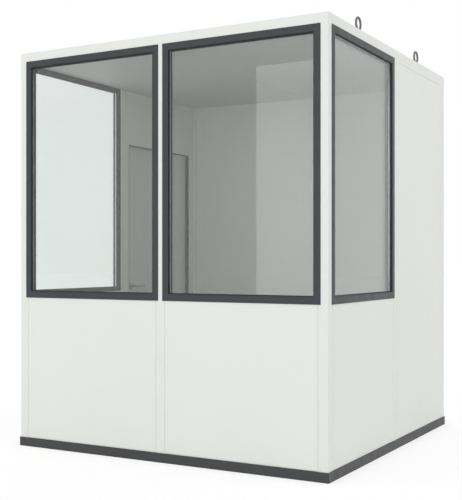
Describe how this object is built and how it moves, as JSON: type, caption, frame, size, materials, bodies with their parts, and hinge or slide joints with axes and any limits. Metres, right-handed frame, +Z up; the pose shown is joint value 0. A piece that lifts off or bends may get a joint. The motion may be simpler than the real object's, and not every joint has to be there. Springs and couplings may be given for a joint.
{
  "type": "indoor modular cabin",
  "caption": "Square steel-framed indoor cabin with insulated panels, large windows, an outward-opening side door and lifting eyes on the roof.",
  "frame": {"origin": "on the ground at the middle of the cabin's plan, on the underside of the floor deck", "axes": "+Z up, -Y out of the front with its two windows, -X out of the wall with the door"},
  "size_m": [2.207, 2.13, 2.595],
  "materials": {
    "base_steel": "dark grey powder coat",
    "floor_board": "bare board",
    "floor_covering": "matt sheet vinyl",
    "frame_white": "satin white powder coat",
    "panel_white": "satin white coated sheet",
    "window_anthracite": "satin anthracite powder coat",
    "window_glass": "clear sealed unit",
    "door_anthracite": "satin anthracite powder coat",
    "threshold_aluminium": "brushed",
    "door_white": "satin white coated sheet",
    "handle_steel": "satin",
    "hinge_steel": "satin",
    "roof_white": "light grey coated sheet",
    "eye_steel": "dark forged steel"
  },
  "bodies": {
    "cabin": {"base_rail_front": "base_steel", "base_rail_back": "base_steel", "base_rail_left": "base_steel", "base_rail_right": "base_steel", "floor_deck": "floor_board", "floor_covering": "floor_covering", "corner_post_front_left": "frame_white", "corner_post_front_right": "frame_white", "corner_post_back_right": "frame_white", "corner_post_back_left": "frame_white", "middle_post_front": "frame_white", "middle_post_right": "frame_white", "middle_post_back": "frame_white", "middle_post_left": "frame_white", "lower_panel_front_left": "panel_white", "lower_panel_front_right": "panel_white", "lower_panel_right": "panel_white", "lower_panel_left": "panel_white", "wall_panel_right": "panel_white", "wall_panel_back_right": "panel_white", "wall_panel_back_left": "panel_white", "door_side_strips": "panel_white", "door_over_panel": "panel_white", "window_frame_front_left": "window_anthracite", "window_frame_front_right": "window_anthracite", "window_frame_right": "window_anthracite", "window_frame_left": "window_anthracite", "window_glass_front_left": "window_glass", "window_glass_front_right": "window_glass", "window_glass_right": "window_glass", "window_glass_left": "window_glass", "door_frame": "door_anthracite", "door_threshold": "threshold_aluminium", "door_hinges_fixed": "hinge_steel", "roof_beam_front": "frame_white", "roof_beam_back": "frame_white", "roof_beam_left": "frame_white", "roof_beam_right": "frame_white", "roof_panels": "roof_white", "lifting_eye_front_left": "eye_steel", "lifting_eye_front_right": "eye_steel", "lifting_eye_back_left": "eye_steel", "lifting_eye_back_right": "eye_steel"},
    "door": {"door_leaf": "door_white", "door_roses": "handle_steel", "door_hinges_moving": "hinge_steel"},
    "lever": {"door_lever": "handle_steel"}
  },
  "joints": [
    {"name": "door_hinge", "type": "hinge", "parent": "cabin", "child": "door", "pos_m": [-1.098, 0.9325, 0.06], "axis": [0, 0, -1], "range_deg": [0, 100]},
    {"name": "lever_spindle", "type": "hinge", "parent": "door", "child": "lever", "pos_m": [-1.066, 0.136, 0.99], "axis": [-1, 0, 0], "range_deg": [0, 40], "stiffness_Nm_per_rad": 1, "springref_deg": -45.84}
  ]
}
